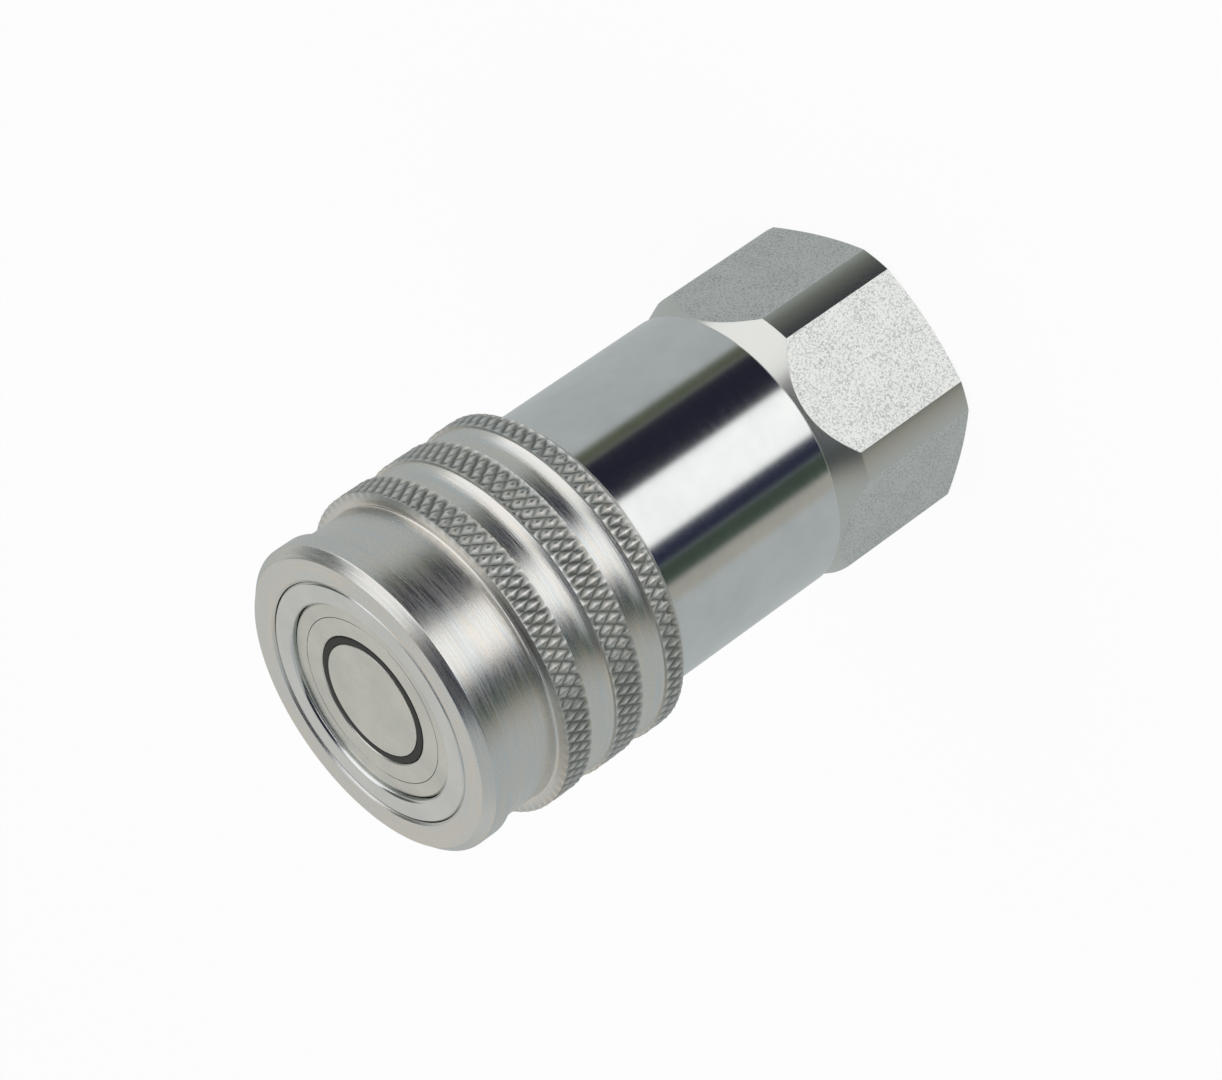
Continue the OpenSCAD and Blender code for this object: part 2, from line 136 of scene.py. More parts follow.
def turned(name, corners, ease=0.06, columns=288, steps=4):
    """The outline carried round the axis: x = r cos(angle), y = r sin(angle), z as the outline gives it."""
    outline = soften(corners, ease, steps)
    angle = np.arange(columns) * 2 * np.pi / columns
    r, z = outline[:, :1], outline[:, 1:]
    points = np.stack([r * np.cos(angle), r * np.sin(angle), z + 0 * angle], -1)
    piece = shell(name, points)
    bpy.context.collection.objects.link(piece)
    finish_shading(piece)
    return piece


def stands_for(piece, node, body):
    """The piece replaces a node of the working model and moves with its body."""
    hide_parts(node)
    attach(piece, body)


print("turning helpers ready")

# %% [markdown]
# ## The knurled sleeve
# A knurling wheel presses two sets of crossing grooves into the bands, which leaves small four-sided points. A
# texture could fake them, but their tips catch the light one by one and they break up the edge of the bands, so
# they are real here. Two saw waves cross at the groove lines, and the lower of the two gives the height of a
# point. The mesh has eight cells to a groove, so every groove runs exactly along cell corners.

# %% Knurl
knurl_count = 81
knurl_pitch = 2.56
knurl_depth = 0.27
cells = 8


def knurl_height(angle, depth_along):
    """1 at the tip of a point and 0 in a groove: the lower of two triangle waves, rounded at both ends.

    The waves run along count * angle / 2 pi + d / pitch and count * angle / 2 pi - d / pitch.
    """
    turn = knurl_count * angle / (2 * np.pi)
    wave = [1 - np.abs(2 * ((turn + sign * depth_along / knurl_pitch) % 1) - 1) for sign in (1, -1)]
    height = np.minimum(wave[0], wave[1])
    return np.clip(1.25 * height ** 0.85, 0.05, 1.0)


def sleeve_outline():
    """Rows of radius, distance behind the front face, and how strongly the knurl marks that row."""
    def plain(corners, ease):
        eased = soften(corners, ease)
        return np.column_stack([eased, np.zeros(len(eased))])

    def band(start, end):
        rows = np.arange(np.ceil(start / (knurl_pitch / cells)), np.floor(end / (knurl_pitch / cells)) + 1)
        d = np.unique(np.concatenate([[start], rows * knurl_pitch / cells, [end]]))
        strength = np.clip(np.minimum(d - start, end - d) / 0.4, 0.3, 1)
        return np.column_stack([np.full(len(d), band_r), d, strength])

    def climb(start, rise, radius, count=9):
        run = np.sqrt(radius ** 2 - (radius - rise) ** 2)
        x = np.linspace(0, run, count)
        r = floor_r + radius - np.sqrt(radius ** 2 - x ** 2)
        return np.column_stack([r, start - run + x, np.zeros(count)])

    def hollow(start, end):
        down = soften([(band_r, start), (floor_r, start), (floor_r, start + 1.2), (band_r, start + 1.2)],
                      [0.01, 0.4, 0.01, 0.01])[6:12]
        down = np.column_stack([down, np.zeros(len(down))])
        return np.concatenate([down, climb(end, 0.5, 3.5)])

    rear = front - sleeve_rear
    head = soften([(15.24, 0), (17.95, 0), (lip_r, 1.1), (lip_r, lip_len), (neck_r, lip_len),
                   (neck_r, neck_end), (band_r - 0.4, neck_end), (15.24, neck_end)],
                  [0.05, 0.08, 0.1, 0.08, 0.05, 0.9, 0.02, 0.02], 7)[9:-18]
    head = np.column_stack([head, np.zeros(len(head))])
    inside = [(band_r - 0.75, rear), (17.43, rear), (17.43, 26.55), (18.10, 26.55), (18.10, 19.65),
              (17.43, 19.65), (17.43, 11.62), (14.99, 11.62), (14.99, 9.5), (16.5, 8.0), (16.5, 2.55),
              (14.99, 2.55), (14.99, 0.25), (15.24, 0)]
    tail = soften(inside, 0.05)
    tail = np.column_stack([tail, np.zeros(len(tail))])
    (a0, a1), (b0, b1), (c0, c1) = bands
    return np.concatenate([head, band(a0, a1), hollow(a1, b0), band(b0, b1), hollow(b1, c0), band(c0, c1), tail])


outline = sleeve_outline()
angle = np.arange(knurl_count * cells) * 2 * np.pi / (knurl_count * cells)
height = knurl_height(angle[None, :], outline[:, 1:2])
sunk = outline[:, 2:3] * knurl_depth * (1 - height)
r = outline[:, :1] - sunk
points = np.stack([r * np.cos(angle), r * np.sin(angle), front - outline[:, 1:2] + 0 * angle], -1)
low = np.roll(sunk, -1, 0) + np.roll(sunk, -1, 1)
high = sunk + np.roll(np.roll(sunk, -1, 0), -1, 1)
sleeve = shell("sleeve_knurled", points, split=low > high)
bpy.context.collection.objects.link(sleeve)
depth_mark = sleeve.data.attributes.new("groove", "FLOAT", "POINT")
groove_share = np.broadcast_to(sunk / knurl_depth, r.shape).ravel().astype(np.float32)
depth_mark.data.foreach_set("value", groove_share)
finish_shading(sleeve, 50)
stands_for(sleeve, "locking_sleeve", "sleeve")
print("sleeve rows and columns:", points.shape[:2], "triangles:", len(sleeve.data.polygons))

# %% [markdown]
# ## Body, face rings and stem
# These are plain turned parts. Their outlines repeat the working model's and add the small eased edges that
# catch a line of light round each face.

# %% Body
body = turned("body_smooth", [
    (17.12, body_rear), (body_r, body_rear + 0.25), (body_r, 53.9), (17.12, 54.15), (nose_r, 54.15),
    (nose_r, nose - 0.25), (nose_r - 0.25, nose), (bore_r + 0.25, nose), (bore_r, nose - 0.25),
    (bore_r, 65.55), (13.91, 65.55), (13.91, 62.55), (bore_r, 62.55), (bore_r, 61.35), (13.0, 61.35),
    (13.0, 45.56), (10.45, 45.56), (10.45, 37.56), (13.2, 37.56), (13.2, 28.76), (15.47, 28.76),
    (15.47, body_rear)], ease=0.08, columns=360)
ball_count, ball_hole_r, ball_depth = 12, 2.035, 7
hole_cutters = []
for k in range(ball_count):
    bpy.ops.mesh.primitive_cylinder_add(vertices=48, radius=ball_hole_r * MM, depth=6 * MM)
    cutter = bpy.context.object
    turn = (k + 0.5) * 2 * np.pi / ball_count
    cutter.rotation_euler = (0, np.pi / 2, turn)
    wall_r = (nose_r + bore_r) / 2 * MM
    cutter.location = (wall_r * np.cos(turn), wall_r * np.sin(turn), (nose - ball_depth) * MM)
    hole_cutters.append(cutter)
with bpy.context.temp_override(active_object=hole_cutters[0], selected_editable_objects=hole_cutters):
    bpy.ops.object.join()
drill = body.modifiers.new("ball_holes", "BOOLEAN")
drill.operation = "DIFFERENCE"
drill.object = hole_cutters[0]
bpy.context.view_layer.update()
drilled = bpy.data.meshes.new_from_object(body.evaluated_get(bpy.context.evaluated_depsgraph_get()))
body.modifiers.clear()
body.data = drilled
bpy.data.objects.remove(hole_cutters[0])
finish_shading(body)
stands_for(body, "coupler_body", "housing")
print("body faces:", len(body.data.polygons))

# %% [markdown]
# Two rings and the stem end in one flat face. The outer ring holds the balls out, the inner one is the valve,
# and a black moulded ring seals it against the stem. Each is turned in the same way as the body.

# %% Face rings, stem and seal
retaining = turned("ring_retaining", [
    (10.36, ring_rear), (12.94, ring_rear), (12.94, 61.30), (12.19, 61.30), (12.19, face - 0.25),
    (11.94, face), (10.36, face)], ease=0.05)
stands_for(retaining, "ball_retaining_ring", "retaining_ring")
valve = turned("sleeve_valve", [
    (8.9, valve_rear), (10.05, valve_rear), (10.3, valve_rear + 0.25), (10.3, face), (8.1, face),
    (7.95, face - 0.15), (7.95, face - 2.95), (7.4, face - 2.95), (7.4, face - 19.2), (8.9, face - 19.2)],
    ease=0.05)
stands_for(valve, "valve_sleeve", "valve")
seal = turned("seal_moulded", [(6.97, face - 1.98), (7.9, face - 1.98), (7.9, face - 0.04), (6.97, face - 0.04)],
              ease=0.2)
stands_for(seal, "stem_seal", "housing")
stem_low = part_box("stem")[0].z / MM
tiny = 0.01
stem = turned("stem_flat_faced", [
    (tiny, stem_low), (2.75, stem_low), (3.0, stem_low + 0.25), (3.0, 28.76), (3.5, 28.76),
    (3.5, face - 6.5), (7.1, face - 2.9), (7.7, face - 2.9), (7.8, face - 2.8), (7.8, face - 2.0),
    (6.95, face - 2.0), (6.95, face - 0.06), (6.89, face), (tiny, face)], ease=0.03)
stands_for(stem, "stem", "housing")
print("face pieces turned:", [o.name for o in (retaining, valve, seal, stem)])

# %% [markdown]
# ## The hexagon
# The adaptor is turned from hexagon bar: the corners are cut back to a cylinder, a cone leads up to them in
# front and a shallow chamfer behind. Where a flat meets the cone the edge is a curve. Every column of the
# surface is given its own outline, so the edges of flats, cone and chamfer lie exactly along rows and columns.
# A boolean of a prism and a cone would give the same shape with ragged triangles along that curve.

# %% Hexagon adaptor
across, turned_r, cone_r, foot_r = 33.3, 18.25, 16.15, 16.3
cone_slope = np.tan(np.radians(28))
foot_slope = np.tan(np.radians(20))
port_r, port_major, port_pitch = 9.315, 10.4775, 1.814
half_flat = np.arccos(across / 2 / turned_r)


def hexagon_columns(on_flat=31, on_corner=11):
    """Angles round the hexagon, crowded at the edges of each flat, for six flats from -Y round."""
    ease = lambda n: 0.5 - 0.5 * np.cos(np.linspace(0, np.pi, n))
    flat = (2 * ease(on_flat) - 1) * half_flat
    corner = half_flat + ease(on_corner)[1:-1] * (np.pi / 3 - 2 * half_flat)
    one = np.concatenate([flat, corner])
    return (np.arange(6)[:, None] * np.pi / 3 - np.pi / 2 + one).ravel()


def hexagon_radius(angle):
    """Half the width across flats over the cosine of the angle from the nearest flat, cut back to the corners."""
    off = (angle + np.pi / 2 + np.pi / 6) % (np.pi / 3) - np.pi / 6
    return np.minimum(across / 2 / np.cos(off), turned_r)


def thread_depth(angle, z):
    """A triangle wave that climbs one pitch for each turn, 0 at the crest and 1 at the root."""
    wave = 1 - np.abs(2 * ((z / port_pitch - angle / (2 * np.pi)) % 1) - 1)
    return np.clip(1.25 * wave - 0.12, 0, 1)


angle = hexagon_columns()
outer = hexagon_radius(angle)
foot_top = (outer - foot_r) * foot_slope
cone_low = body_rear - (outer - cone_r) / cone_slope
rows = [(np.full_like(angle, r), np.full_like(angle, z)) for r, z in (
    (15.45, spigot_top), (15.45, body_rear + 3.1), (14.0, body_rear + 3.0), (14.0, body_rear + 0.05),
    (cone_r - 0.05, body_rear))]
rows.append((np.full_like(angle, cone_r), np.full_like(angle, body_rear - 0.05)))
ease = 0.06
edge_rows = [
    (outer - 1.6 * ease * cone_slope, cone_low + 1.6 * ease), (outer - ease * cone_slope, cone_low + ease),
    (outer - 0.2 * ease, cone_low), (outer, cone_low - ease), (outer, cone_low - 1.6 * ease)]
steps = np.linspace(0, 1, 12)[1:-1]
edge_rows += [(outer, (cone_low - 0.1) * (1 - s) + (foot_top + 0.1) * s) for s in steps]
edge_rows += [
    (outer, foot_top + 1.6 * ease), (outer, foot_top + ease), (outer - 0.2 * ease, foot_top),
    (outer - ease, foot_top - ease * foot_slope), (outer - 1.6 * ease, foot_top - 1.6 * ease * foot_slope)]
rows += edge_rows
rows += [(np.full_like(angle, r), np.full_like(angle, z)) for r, z in (
    (foot_r + 0.06, 0.02), (foot_r - 0.02, 0.0), (foot_r - 0.1, 0.0), (port_major + 0.2, 0.0),
    (port_major + 0.1, 0.0), (port_major, 0.1))]
thread_z = np.arange(0.3, 16.6, port_pitch / 8)
mouth = np.maximum(port_r, port_major + 0.1 - thread_z)
fade = np.clip((16.2 - thread_z) / 1.5, 0, 1)
for z, core, strength in zip(thread_z, mouth, fade):
    cut = np.maximum(core, port_r + (port_major - port_r) * thread_depth(angle, z) * strength)
    rows.append((cut, np.full_like(angle, z)))
rows += [(np.full_like(angle, r), np.full_like(angle, z)) for r, z in (
    (port_r, 16.8), (port_r, 17.0), (7.5, 17.91), (7.5, 21.06), (12.2, 25.76), (13.62, 25.76), (13.62, spigot_top))]
r = np.array([row[0] for row in rows])
z = np.array([row[1] for row in rows])
adaptor = shell("adaptor_hexagon", np.stack([r * np.cos(angle), r * np.sin(angle), z], -1))
bpy.context.collection.objects.link(adaptor)
finish_shading(adaptor, 14)
on_flat = np.abs((angle + np.pi / 2 + np.pi / 6) % (np.pi / 3) - np.pi / 6) < half_flat - 1e-4
stands_for(adaptor, "hex_adaptor", "housing")
print("adaptor rows and columns:", r.shape, "triangles:", len(adaptor.data.polygons))
flat_mark = adaptor.data.attributes.new("flat", "FLOAT", "POINT")
between = (z < cone_low - 0.02) & (z > foot_top + 0.02) & (r > foot_r - 0.02) & on_flat
flat_mark.data.foreach_set("value", between.astype(np.float32).ravel())

# %% [markdown]
# ## Finishes
# Nearly everything is steel with a thin coat of bright zinc, so what sets one piece from another is how it was
# cut. A lathe leaves fine rings: round a shaft they run along its girth, and on a face they are circles. One
# noise serves both if it is read at the radius and the height of a point and hardly changes with the angle.
# Stretching a texture by hand would need a different direction on every face.

# %% Colours and nodes
def linear(hex_colour):
    """sRGB to linear: c / 12.92 below 0.04045, and ((c + 0.055) / 1.055) ^ 2.4 above."""
    c = np.array([int(hex_colour[k:k + 2], 16) for k in (1, 3, 5)]) / 255
    return tuple(np.where(c <= 0.04045, c / 12.92, ((c + 0.055) / 1.055) ** 2.4)) + (1.0,)


def add_node(tree, kind, properties=None, inputs=None):
    """Adds a node. An input is linked if it is given a socket, and set if it is given a value."""
    made = tree.nodes.new(kind)
    for key, value in (properties or {}).items():
        setattr(made, key, value)
    for key, value in (inputs or {}).items():
        if isinstance(value, bpy.types.NodeSocket):
            tree.links.new(value, made.inputs[key])
        else:
            made.inputs[key].default_value = value
    return made


def new_material(name):
    """A material with its Principled shader and its node tree."""
    material = bpy.data.materials.new(name)
    material.use_nodes = True
    return material, material.node_tree, material.node_tree.nodes["Principled BSDF"]


def lathe_noise(tree, mark, around, detail=3.0):
    """Noise read at (cos a, sin a, height, radius): a mark in mm across the rings, 1 / around long along them."""
    place = add_node(tree, "ShaderNodeTexCoord").outputs["Object"]
    flat = add_node(tree, "ShaderNodeVectorMath", {"operation": "MULTIPLY"}, {0: place, 1: (1, 1, 0)})
    way = add_node(tree, "ShaderNodeVectorMath", {"operation": "NORMALIZE"}, {0: flat.outputs[0]})
    turn = add_node(tree, "ShaderNodeVectorMath", {"operation": "SCALE"}, {0: way.outputs[0], "Scale": around})
    fine = 1 / (mark * MM)
    up = add_node(tree, "ShaderNodeVectorMath", {"operation": "MULTIPLY"}, {0: place, 1: (0, 0, fine)})
    both = add_node(tree, "ShaderNodeVectorMath", {"operation": "ADD"}, {0: turn.outputs[0], 1: up.outputs[0]})
    radius = add_node(tree, "ShaderNodeVectorMath", {"operation": "LENGTH"}, {0: flat.outputs[0]})
    radius = radius.outputs["Value"]
    out = add_node(tree, "ShaderNodeMath", {"operation": "MULTIPLY"}, {0: radius, 1: fine})
    return add_node(tree, "ShaderNodeTexNoise", {"noise_dimensions": "4D"}, {
        "Vector": both.outputs[0], "W": out.outputs[0], "Scale": 1.0, "Detail": detail, "Roughness": 0.65}).outputs[0]


def grain_noise(tree, size, detail=2.0):
    """Even noise in all directions, with spots about as wide as size, in mm."""
    place = add_node(tree, "ShaderNodeTexCoord").outputs["Object"]
    return add_node(tree, "ShaderNodeTexNoise", {}, {
        "Vector": place, "Scale": 1 / (2 * size * MM), "Detail": detail, "Roughness": 0.6}).outputs[0]


def spread(tree, value, low, high, out_low, out_high):
    """Maps low..high of a value to out_low..out_high, and holds it there beyond."""
    return add_node(tree, "ShaderNodeMapRange", {}, {
        "Value": value, "From Min": low, "From Max": high, "To Min": out_low, "To Max": out_high}).outputs[0]


def mix_colour(tree, amount, first, second):
    """The first colour at 0 and the second at 1."""
    made = add_node(tree, "ShaderNodeMix", {"data_type": "RGBA"}, {0: amount, 6: first, 7: second})
    return made.outputs[2]


print("zinc in linear light:", [round(c, 3) for c in linear("#D2D3D0")])

# %% [markdown]
# Bright zinc on turned steel is a slightly milky mirror. Its rings are about 0.2 mm apart, and finer ones are
# left to the roughness, since they are too small to be seen one by one.

# %% Zinc plated turned steel
def turned_zinc(name, bright, dull, roughness, mark, depth, change=0.06):
    """Zinc on turned steel, with rings mark mm apart and depth thousandths of a mm high.

    The roughness goes up and down with the rings by change.
    """
    material, tree, shader = new_material(name)
    rings = lathe_noise(tree, mark, 5.0)
    stains = grain_noise(tree, 2.5)
    colour = mix_colour(tree, spread(tree, stains, 0.35, 0.7, 0.0, 1.0), linear(bright), linear(dull))
    relief = add_node(tree, "ShaderNodeBump", {}, {"Strength": 1.0, "Distance": depth * 1e-6, "Height": rings})
    tree.links.new(colour, shader.inputs["Base Color"])
    low, high = roughness - change, roughness + change
    tree.links.new(spread(tree, rings, 0.3, 0.7, low, high), shader.inputs["Roughness"])
    tree.links.new(relief.outputs[0], shader.inputs["Normal"])
    shader.inputs["Metallic"].default_value = 1.0
    return material


zinc_turned = turned_zinc("zinc_turned_steel", "#DCDBD5", "#CFD1CC", 0.3, 0.18, 22.0)
zinc_smooth = turned_zinc("zinc_ground_steel", "#DEE0DF", "#D6D9D9", 0.15, 0.2, 1.0, 0.02)
zinc_inner = turned_zinc("zinc_pressed_steel", "#C8C9C4", "#B5B7B2", 0.33, 0.25, 3.0)
print("turned finishes:", [m.name for m in (zinc_turned, zinc_smooth, zinc_inner)])

# %% [markdown]
# The knurled sleeve has the same zinc, with a faint film that is cool in some rings and warm in others. The
# wheel burnishes the tips, and the groove depth that was stored with the mesh dulls the grooves and darkens
# them with painted shade.

# %% Zinc plated knurled steel
zinc_knurled, tree, shader = new_material("zinc_knurled_steel")
rings = lathe_noise(tree, 0.2, 4.0, 4.0)
groove = add_node(tree, "ShaderNodeAttribute", {"attribute_name": "groove"}).outputs["Fac"]
knurled = spread(tree, groove, 0.0, 0.15, 0.0, 1.0)
film = spread(tree, lathe_noise(tree, 0.9, 2.0), 0.35, 0.65, 0.0, 1.0)
tint = mix_colour(tree, film, linear("#D5D9DA"), linear("#DFDAD2"))
# painted shade: the deeper a point sits in a groove, the darker its colour
painted_groove_shade = mix_colour(tree, spread(tree, groove, 0.05, 0.8, 0.0, 1.0), tint, linear("#8C8E8A"))
pressed = grain_noise(tree, 0.12)
height = add_node(tree, "ShaderNodeMix", {"data_type": "FLOAT"}, {0: knurled, 2: rings, 3: pressed}).outputs[0]
relief = add_node(tree, "ShaderNodeBump", {}, {"Strength": 1.0, "Distance": 2.4e-5, "Height": height})
tree.links.new(painted_groove_shade, shader.inputs["Base Color"])
ringed = spread(tree, rings, 0.3, 0.7, 0.2, 0.36)
rough = add_node(tree, "ShaderNodeMix", {"data_type": "FLOAT"}, {0: knurled, 2: ringed, 3: 0.42})
tree.links.new(rough.outputs[0], shader.inputs["Roughness"])
tree.links.new(relief.outputs[0], shader.inputs["Normal"])
shader.inputs["Metallic"].default_value = 1.0
print("knurled finish:", zinc_knurled.name)

# %% [markdown]
# The hexagon keeps the drawn skin of the bar on its flats. Acid and zinc leave it speckled, with pits 0.1 to
# 0.2 mm wide, while the turned corners and the cone carry the rings of the lathe. The flats are marked in
# the mesh, and the mark mixes the two surfaces.

# %% Zinc plated hexagon bar
zinc_bar, tree, shader = new_material("zinc_hexagon_bar")
flat = add_node(tree, "ShaderNodeAttribute", {"attribute_name": "flat"}).outputs["Fac"]
rings = lathe_noise(tree, 0.2, 6.0)
pits = grain_noise(tree, 0.11, 2.0)
drawn = spread(tree, grain_noise(tree, 1.8), 0.3, 0.7, -0.03, 0.03)
pit_amount = add_node(tree, "ShaderNodeMath", {"operation": "ADD"}, {0: pits, 1: drawn}).outputs[0]
speckle = spread(tree, pit_amount, 0.47, 0.66, 0.0, 1.0)
skin = mix_colour(tree, speckle, linear("#DCDDDA"), linear("#A9AEAF"))
colour = mix_colour(tree, flat, linear("#D3D4D0"), skin)
height = add_node(tree, "ShaderNodeMix", {"data_type": "FLOAT"}, {0: flat, 2: rings, 3: pits}).outputs[0]
relief = add_node(tree, "ShaderNodeBump", {}, {"Strength": 1.0, "Distance": 6e-6, "Height": height})
rough = add_node(tree, "ShaderNodeMix", {"data_type": "FLOAT"}, {0: flat, 2: 0.26, 3: 0.3}).outputs[0]
tree.links.new(colour, shader.inputs["Base Color"])
tree.links.new(rough, shader.inputs["Roughness"])
tree.links.new(relief.outputs[0], shader.inputs["Normal"])
shader.inputs["Metallic"].default_value = 1.0
print("bar finish:", zinc_bar.name)

# %% [markdown]
# Springs are drawn stainless wire, the balls are ground and polished bearing steel, the seals are moulded nitrile
# rubber with a soft sheen, and the backup rings are milky PTFE.

# %% Wire, balls, rubber and plastic
spring_wire, tree, shader = new_material("drawn_spring_wire")
drawing = grain_noise(tree, 0.3)
tree.links.new(mix_colour(tree, drawing, linear("#B4B5B6"), linear("#8F9193")), shader.inputs["Base Color"])
tree.links.new(spread(tree, drawing, 0.3, 0.7, 0.22, 0.34), shader.inputs["Roughness"])
shader.inputs["Metallic"].default_value = 1.0

chrome_ball, tree, shader = new_material("polished_bearing_steel")
wear = grain_noise(tree, 0.5)
tree.links.new(mix_colour(tree, wear, linear("#D8D9DA"), linear("#CCCDCF")), shader.inputs["Base Color"])
tree.links.new(spread(tree, wear, 0.3, 0.7, 0.06, 0.12), shader.inputs["Roughness"])
shader.inputs["Metallic"].default_value = 1.0

nitrile, tree, shader = new_material("moulded_nitrile_rubber")
bloom = grain_noise(tree, 0.25)
tree.links.new(mix_colour(tree, bloom, linear("#0E0E0F"), linear("#171718")), shader.inputs["Base Color"])
relief = add_node(tree, "ShaderNodeBump", {}, {"Strength": 1.0, "Distance": 4e-6, "Height": bloom})
tree.links.new(relief.outputs[0], shader.inputs["Normal"])
shader.inputs["Roughness"].default_value = 0.5

ptfe, tree, shader = new_material("skived_ptfe")
cloud = grain_noise(tree, 0.6)
tree.links.new(mix_colour(tree, cloud, linear("#E6E4DC"), linear("#D8D6CC")), shader.inputs["Base Color"])
shader.inputs["Roughness"].default_value = 0.45
print("other finishes:", [m.name for m in (spring_wire, chrome_ball, nitrile, ptfe)])

# %% [markdown]
# Every piece now gets its finish. The inner pieces keep the mesh of the working model, because only a cut or an
# open valve would show them.

# %% Dress every piece
outside = ((sleeve, zinc_knurled), (body, zinc_smooth), (retaining, zinc_turned), (valve, zinc_turned),
           (stem, zinc_turned), (seal, nitrile), (adaptor, zinc_bar))
for piece, material in outside:
    piece.data.materials.clear()
    piece.data.materials.append(material)
inner = {"locking_balls": chrome_ball, "sleeve_spring": spring_wire, "ring_spring": spring_wire,
         "valve_spring": spring_wire, "sleeve_stop_ring": spring_wire, "sleeve_spring_washer": zinc_inner,
         "valve_spring_seat": zinc_inner, "stem_spider": zinc_inner, "stem_washer": zinc_inner,
         "stem_nut": zinc_inner, "valve_guide_ring": ptfe, "valve_backup_ring": ptfe, "probe_backup_ring": ptfe,
         "adaptor_backup_ring": ptfe, "valve_o_ring": nitrile, "probe_o_ring": nitrile, "adaptor_o_ring": nitrile}
for name, material in inner.items():
    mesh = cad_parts[name].data
    mesh.materials.clear()
    mesh.materials.append(material)
print("inner pieces dressed:", len(inner))

# %% [markdown]
# ## Studio
# Polished metal shows little of its own: it shows the room. Product photographers stand white softboxes and
# dark flags round such a piece to draw its form in bands. Here the room that metal sees is painted on the
# world, by direction, and softer rays see a plain pale room, so rubber and plastic are lit evenly.

# %% Room for the reflections
# each area: azimuth from -Y toward +X, from and to, elevation from and to, in degrees, linear colour, soft edge
areas = [
    (120, 245, 5, 65, (0.66, 0.65, 0.62), 8),
    (-67, -53, -90, 20, (0.45, 0.43, 0.38), 2),
    (-53, -37, -90, 20, (0.05, 0.075, 0.055), 2),
    (-37, -21, -48, -11, (0.015, 0.02, 0.05), 1.5),
    (56, 67, -90, 0, (0.10, 0.11, 0.07), 2),
    (19, 56, -48, -11, (0.02, 0.02, 0.035), 1.5),
    (-60, 40, 18, 75, (0.02, 0.02, 0.035), 3),
    (-21, 19, -90, 18, (1.25, 1.25, 1.24), 1.5),
    (25, 100, -8, 62, (1.2, 1.2, 1.2), 2),
    (100, 150, 20, 45, (0.12, 0.13, 0.12), 3)]
world = bpy.data.worlds.new("studio")
bpy.context.scene.world = world
world.use_nodes = True
tree = world.node_tree
tree.nodes.clear()
way = add_node(tree, "ShaderNodeTexCoord").outputs["Generated"]
axes = add_node(tree, "ShaderNodeSeparateXYZ", {}, {0: way}).outputs


def math_node(kind, *values):
    """One step of arithmetic on the world's direction."""
    return add_node(tree, "ShaderNodeMath", {"operation": kind}, dict(enumerate(values))).outputs[0]


back = math_node("MULTIPLY", axes[1], -1.0)
azimuth = math_node("DEGREES", math_node("ARCTAN2", axes[0], back))
elevation = math_node("DEGREES", math_node("ARCSINE", axes[2]))
room = (0.50, 0.53, 0.53, 1)
for az0, az1, el0, el1, colour, soft in areas:
    off = math_node("WRAP", math_node("SUBTRACT", azimuth, (az0 + az1) / 2), 180.0, -180.0)
    wide, tall = (az1 - az0) / 2, (el1 - el0) / 2
    across_it = spread(tree, math_node("ABSOLUTE", off), wide + soft, wide - soft, 0.0, 1.0)
    rise = math_node("ABSOLUTE", math_node("SUBTRACT", elevation, (el0 + el1) / 2))
    up_it = spread(tree, rise, tall + soft, tall - soft, 0.0, 1.0)
    room = mix_colour(tree, math_node("MULTIPLY", across_it, up_it), room, colour + (1,))
plain = add_node(tree, "ShaderNodeBackground", {}, {"Color": linear("#E8EAEC"), "Strength": 0.75})
mirrored = add_node(tree, "ShaderNodeBackground", {}, {"Color": room, "Strength": 1.0})
white = add_node(tree, "ShaderNodeBackground", {}, {"Color": (1, 1, 1, 1), "Strength": 1.0})
ray = add_node(tree, "ShaderNodeLightPath").outputs
plain, mirrored, white = (shade.outputs[0] for shade in (plain, mirrored, white))
lit = add_node(tree, "ShaderNodeMixShader", {}, {0: ray["Is Glossy Ray"], 1: plain, 2: mirrored})
seen = add_node(tree, "ShaderNodeMixShader", {}, {0: ray["Is Camera Ray"], 1: lit.outputs[0], 2: white})
add_node(tree, "ShaderNodeOutputWorld", {}, {"Surface": seen.outputs[0]})
print("areas of the room:", len(areas))

# %% [markdown]
# The floor is a pale sheet. It keeps the shadow of the part, and most of its white is its own, so that the
# light on the metal needn't be raised to clear it. The metal sees the softboxes and flags in its place.

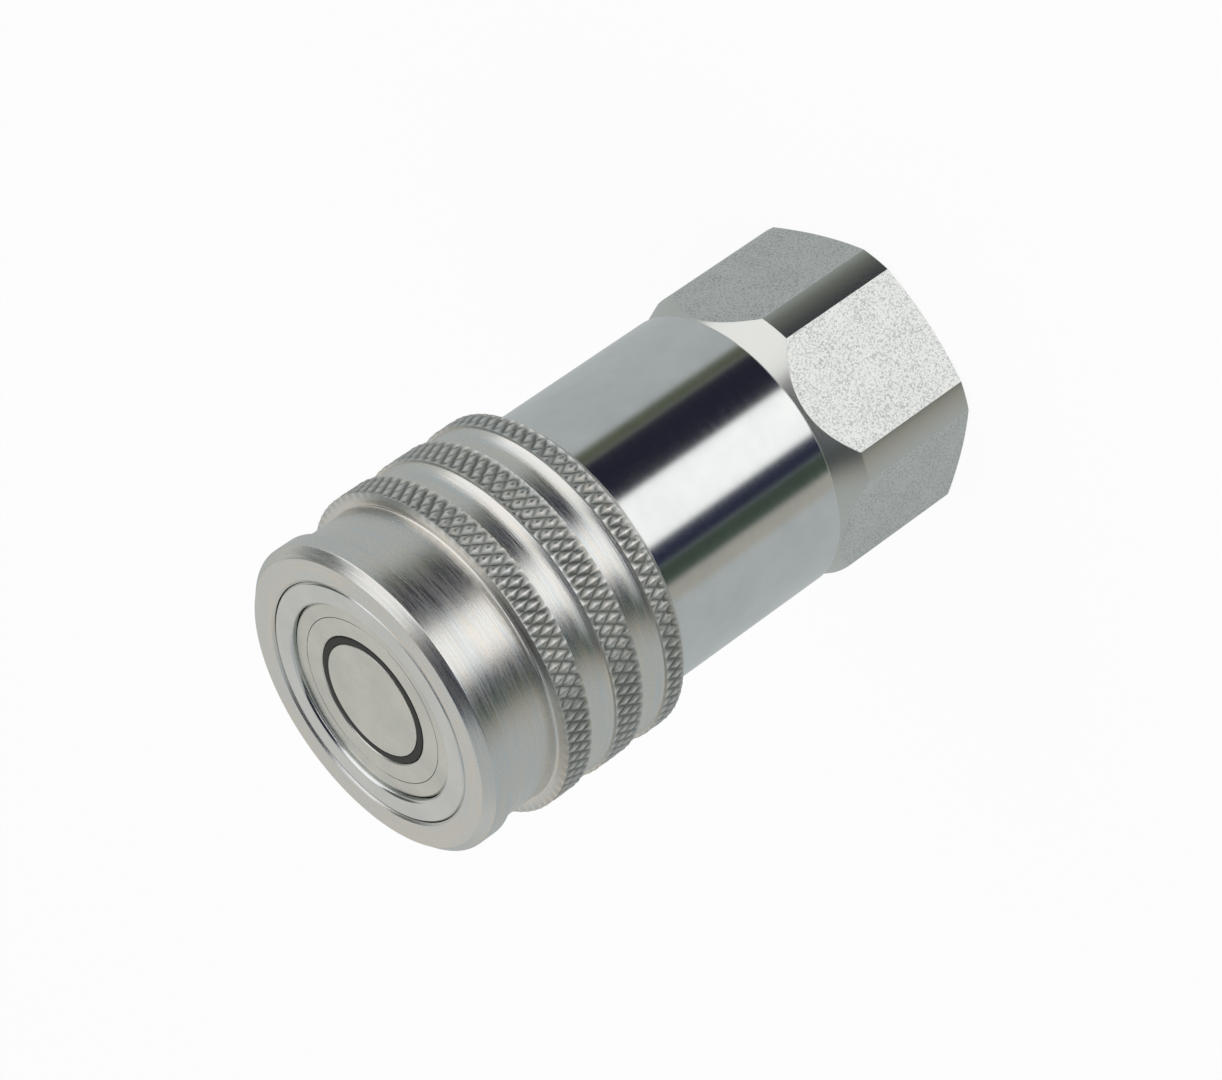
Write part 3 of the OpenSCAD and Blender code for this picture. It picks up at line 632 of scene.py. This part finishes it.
# %% Floor and lamps
bpy.ops.mesh.primitive_plane_add(size=6, location=(0, 0, 0))
floor = bpy.context.object
floor.name = "studio_floor"
paper, tree, shader = new_material("white_paper")
shader.inputs["Base Color"].default_value = linear("#F4F4F4")
shader.inputs["Roughness"].default_value = 0.9
ray = add_node(tree, "ShaderNodeLightPath").outputs
glow = add_node(tree, "ShaderNodeEmission", {}, {"Color": (1, 1, 1, 1), "Strength": 1.0})
own_white = 0.93
shown = add_node(tree, "ShaderNodeMath", {"operation": "MULTIPLY"}, {0: ray["Is Camera Ray"], 1: own_white})
both = add_node(tree, "ShaderNodeMixShader", {}, {0: shown.outputs[0], 1: shader.outputs[0], 2: glow.outputs[0]})
tree.links.new(both.outputs[0], tree.nodes["Material Output"].inputs["Surface"])
floor.data.materials.append(paper)
floor.visible_glossy = False
part_middle = 0.04


def lamp(name, azimuth, elevation, distance, size, power):
    """A square soft lamp that looks at the middle of the part from a direction in degrees."""
    a, e = np.radians(azimuth), np.radians(elevation)
    light = bpy.data.objects.new(name, bpy.data.lights.new(name, "AREA"))
    bpy.context.collection.objects.link(light)
    reach, rise = distance * np.cos(e), distance * np.sin(e)
    light.location = (reach * np.sin(a), -reach * np.cos(a), part_middle + rise)
    light.rotation_euler = (np.pi / 2 - e, 0, a)
    light.data.size, light.data.energy = size, power
    light.visible_glossy = False
    return light


key = lamp("key_softbox", -35, 55, 1.2, 0.9, 3.2)
fill = lamp("fill_softbox", 70, 35, 1.4, 0.9, 1.6)
print("lamps:", key.name, fill.name)

# %% [markdown]
# ## Camera
# The camera looks down on the part from a long way off with a long lens, and is rolled, so the axis of the part
# runs across the picture.

# %% Camera
aim = np.array([-0.54, -0.03, 39.79]) * MM
distance, az, el, roll = 0.52907, np.radians(3.17), np.radians(29.25), np.radians(-124.94)
toward = -np.array([np.cos(el) * np.sin(az), -np.cos(el) * np.cos(az), np.sin(el)])
side = np.cross(toward, (0, 0, 1))
side /= np.linalg.norm(side)
over = np.cross(side, toward)
right = np.cos(roll) * side + np.sin(roll) * over
top = np.cos(roll) * over - np.sin(roll) * side
matrix = np.eye(4)
matrix[:3, :4] = np.column_stack([right, top, -toward, aim - distance * toward])
camera = bpy.data.objects.new("camera", bpy.data.cameras.new("camera"))
bpy.context.collection.objects.link(camera)
camera.matrix_world = Matrix(matrix.tolist())
camera.data.lens, camera.data.sensor_width, camera.data.sensor_fit = 141.52, 36, "HORIZONTAL"
camera.data.clip_start = 0.01
bpy.context.scene.camera = camera
bpy.context.scene.view_settings.view_transform = "Standard"
print("camera at", [round(float(c), 4) for c in camera.matrix_world.translation])
